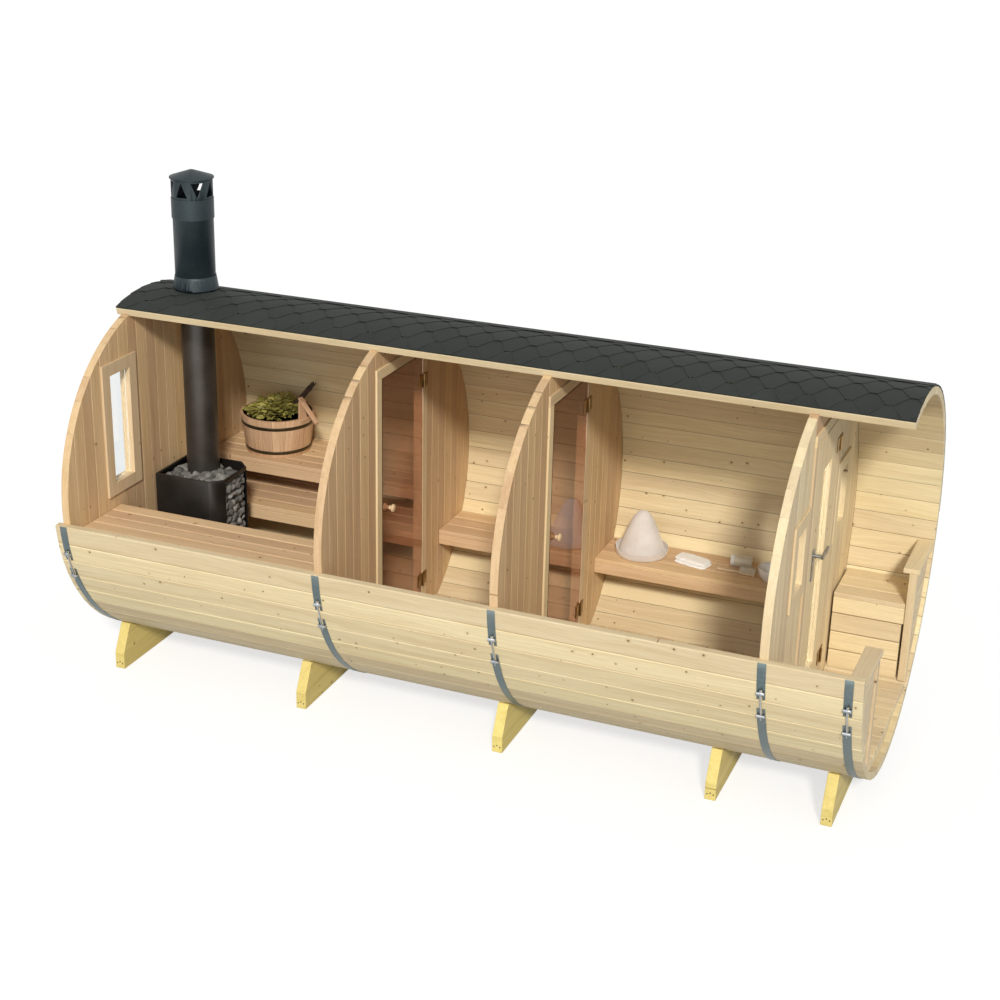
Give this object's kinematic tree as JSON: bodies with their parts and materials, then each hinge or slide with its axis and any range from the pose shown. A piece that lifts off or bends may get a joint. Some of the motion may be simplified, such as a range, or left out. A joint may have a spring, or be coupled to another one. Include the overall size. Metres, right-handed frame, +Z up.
{
  "type": "cutaway barrel sauna",
  "caption": "Horizontal barrel sauna on timber cradles, opened along its upper front to show sauna, middle and changing rooms with hinged doors, stove, benches and porch",
  "frame": {"origin": "on the ground plane under the middle of the barrel's length and axis", "axes": "+X along the barrel from the stove end to the porch, +Y from the cut-open front to the back, +Z up"},
  "size_m": [4.5, 2.0639, 2.8496],
  "materials": {
    "stave_wood": "planed pine, pale and faintly green",
    "wall_wood": "planed spruce boards with knots",
    "trim_wood": "planed light spruce",
    "floor_wood": "planed spruce boards",
    "bench_wood": "smooth light boards",
    "treated_wood": "impregnated yellow timber",
    "tub_wood": "smooth staves",
    "knob_wood": "turned and oiled",
    "brush_wood": "pale beech and sisal",
    "band_steel": "blue-grey coated strip",
    "rod_steel": "zinc plated",
    "hoop_steel": "dark bronze",
    "roofing": "bitumen shingle with mineral grit, dark green-grey",
    "hinge_brass": "aged brass",
    "clear_glass": "clear",
    "tinted_glass": "brown tinted, toughened",
    "stove_steel": "matt heat-proof black",
    "flue_steel": "matt heat-proof dark grey",
    "chimney_steel": "blue-black enamel",
    "stones": "rough grey sauna stones",
    "felt": "thick white wool felt",
    "mitt_cloth": "white cloth",
    "bowl_ceramic": "white glaze"
  },
  "bodies": {
    "body": {"staves_front": "stave_wood", "staves_bottom": "stave_wood", "staves_back_low": "stave_wood", "staves_back_high": "stave_wood", "staves_top": "stave_wood", "bands": "band_steel", "band_tensioners": "rod_steel", "roof_covering": "roofing", "cradles": "treated_wood", "back_wall": "wall_wood", "window_frames": "trim_wood", "window_glass": "clear_glass", "partition_1_near": "wall_wood", "partition_1_far": "wall_wood", "partition_2_near": "wall_wood", "partition_2_far": "wall_wood", "front_wall_near": "wall_wood", "front_wall_far": "wall_wood", "doorway_heads": "wall_wood", "doorway_sills": "wall_wood", "door_1_frame": "trim_wood", "door_2_frame": "trim_wood", "front_door_frame": "trim_wood", "hinge_plates": "hinge_brass", "floor_boards": "floor_wood", "floor_joists": "floor_wood", "sauna_benches": "bench_wood", "sauna_step": "bench_wood", "middle_bench": "bench_wood", "changing_bench": "bench_wood", "porch_bench": "bench_wood", "stove_firebox": "stove_steel", "stove_jacket": "stove_steel", "stove_stones": "stones", "flue_pipe": "flue_steel", "flue_spacers": "flue_steel", "chimney_tube": "chimney_steel", "chimney_flashing": "chimney_steel", "chimney_cap": "chimney_steel", "porch_railings": "trim_wood", "tub": "tub_wood", "tub_hoops": "hoop_steel", "felt_hat": "felt", "bath_mitt": "mitt_cloth", "bath_brushes": "brush_wood", "soap_bowl": "bowl_ceramic"},
    "door_1": {"door_1_glass": "tinted_glass", "door_1_hinges": "hinge_brass", "door_1_knob": "knob_wood"},
    "door_2": {"door_2_glass": "tinted_glass", "door_2_hinges": "hinge_brass", "door_2_knob": "knob_wood"},
    "front_door": {"front_door_leaf": "trim_wood", "front_door_glass": "clear_glass", "front_door_hinges": "hinge_brass", "front_door_handle": "rod_steel"}
  },
  "joints": [
    {"name": "door_1_hinge", "type": "hinge", "parent": "body", "child": "door_1", "pos_m": [-0.596, 0.26775, 1.12057], "axis": [0, 0, 1], "range_deg": [0, 100]},
    {"name": "door_2_hinge", "type": "hinge", "parent": "body", "child": "door_2", "pos_m": [0.399, 0.26775, 1.12057], "axis": [0, 0, 1], "range_deg": [0, 100]},
    {"name": "front_door_hinge", "type": "hinge", "parent": "body", "child": "front_door", "pos_m": [1.799, 0.26775, 1.12057], "axis": [0, 0, 1], "range_deg": [0, 100]}
  ]
}
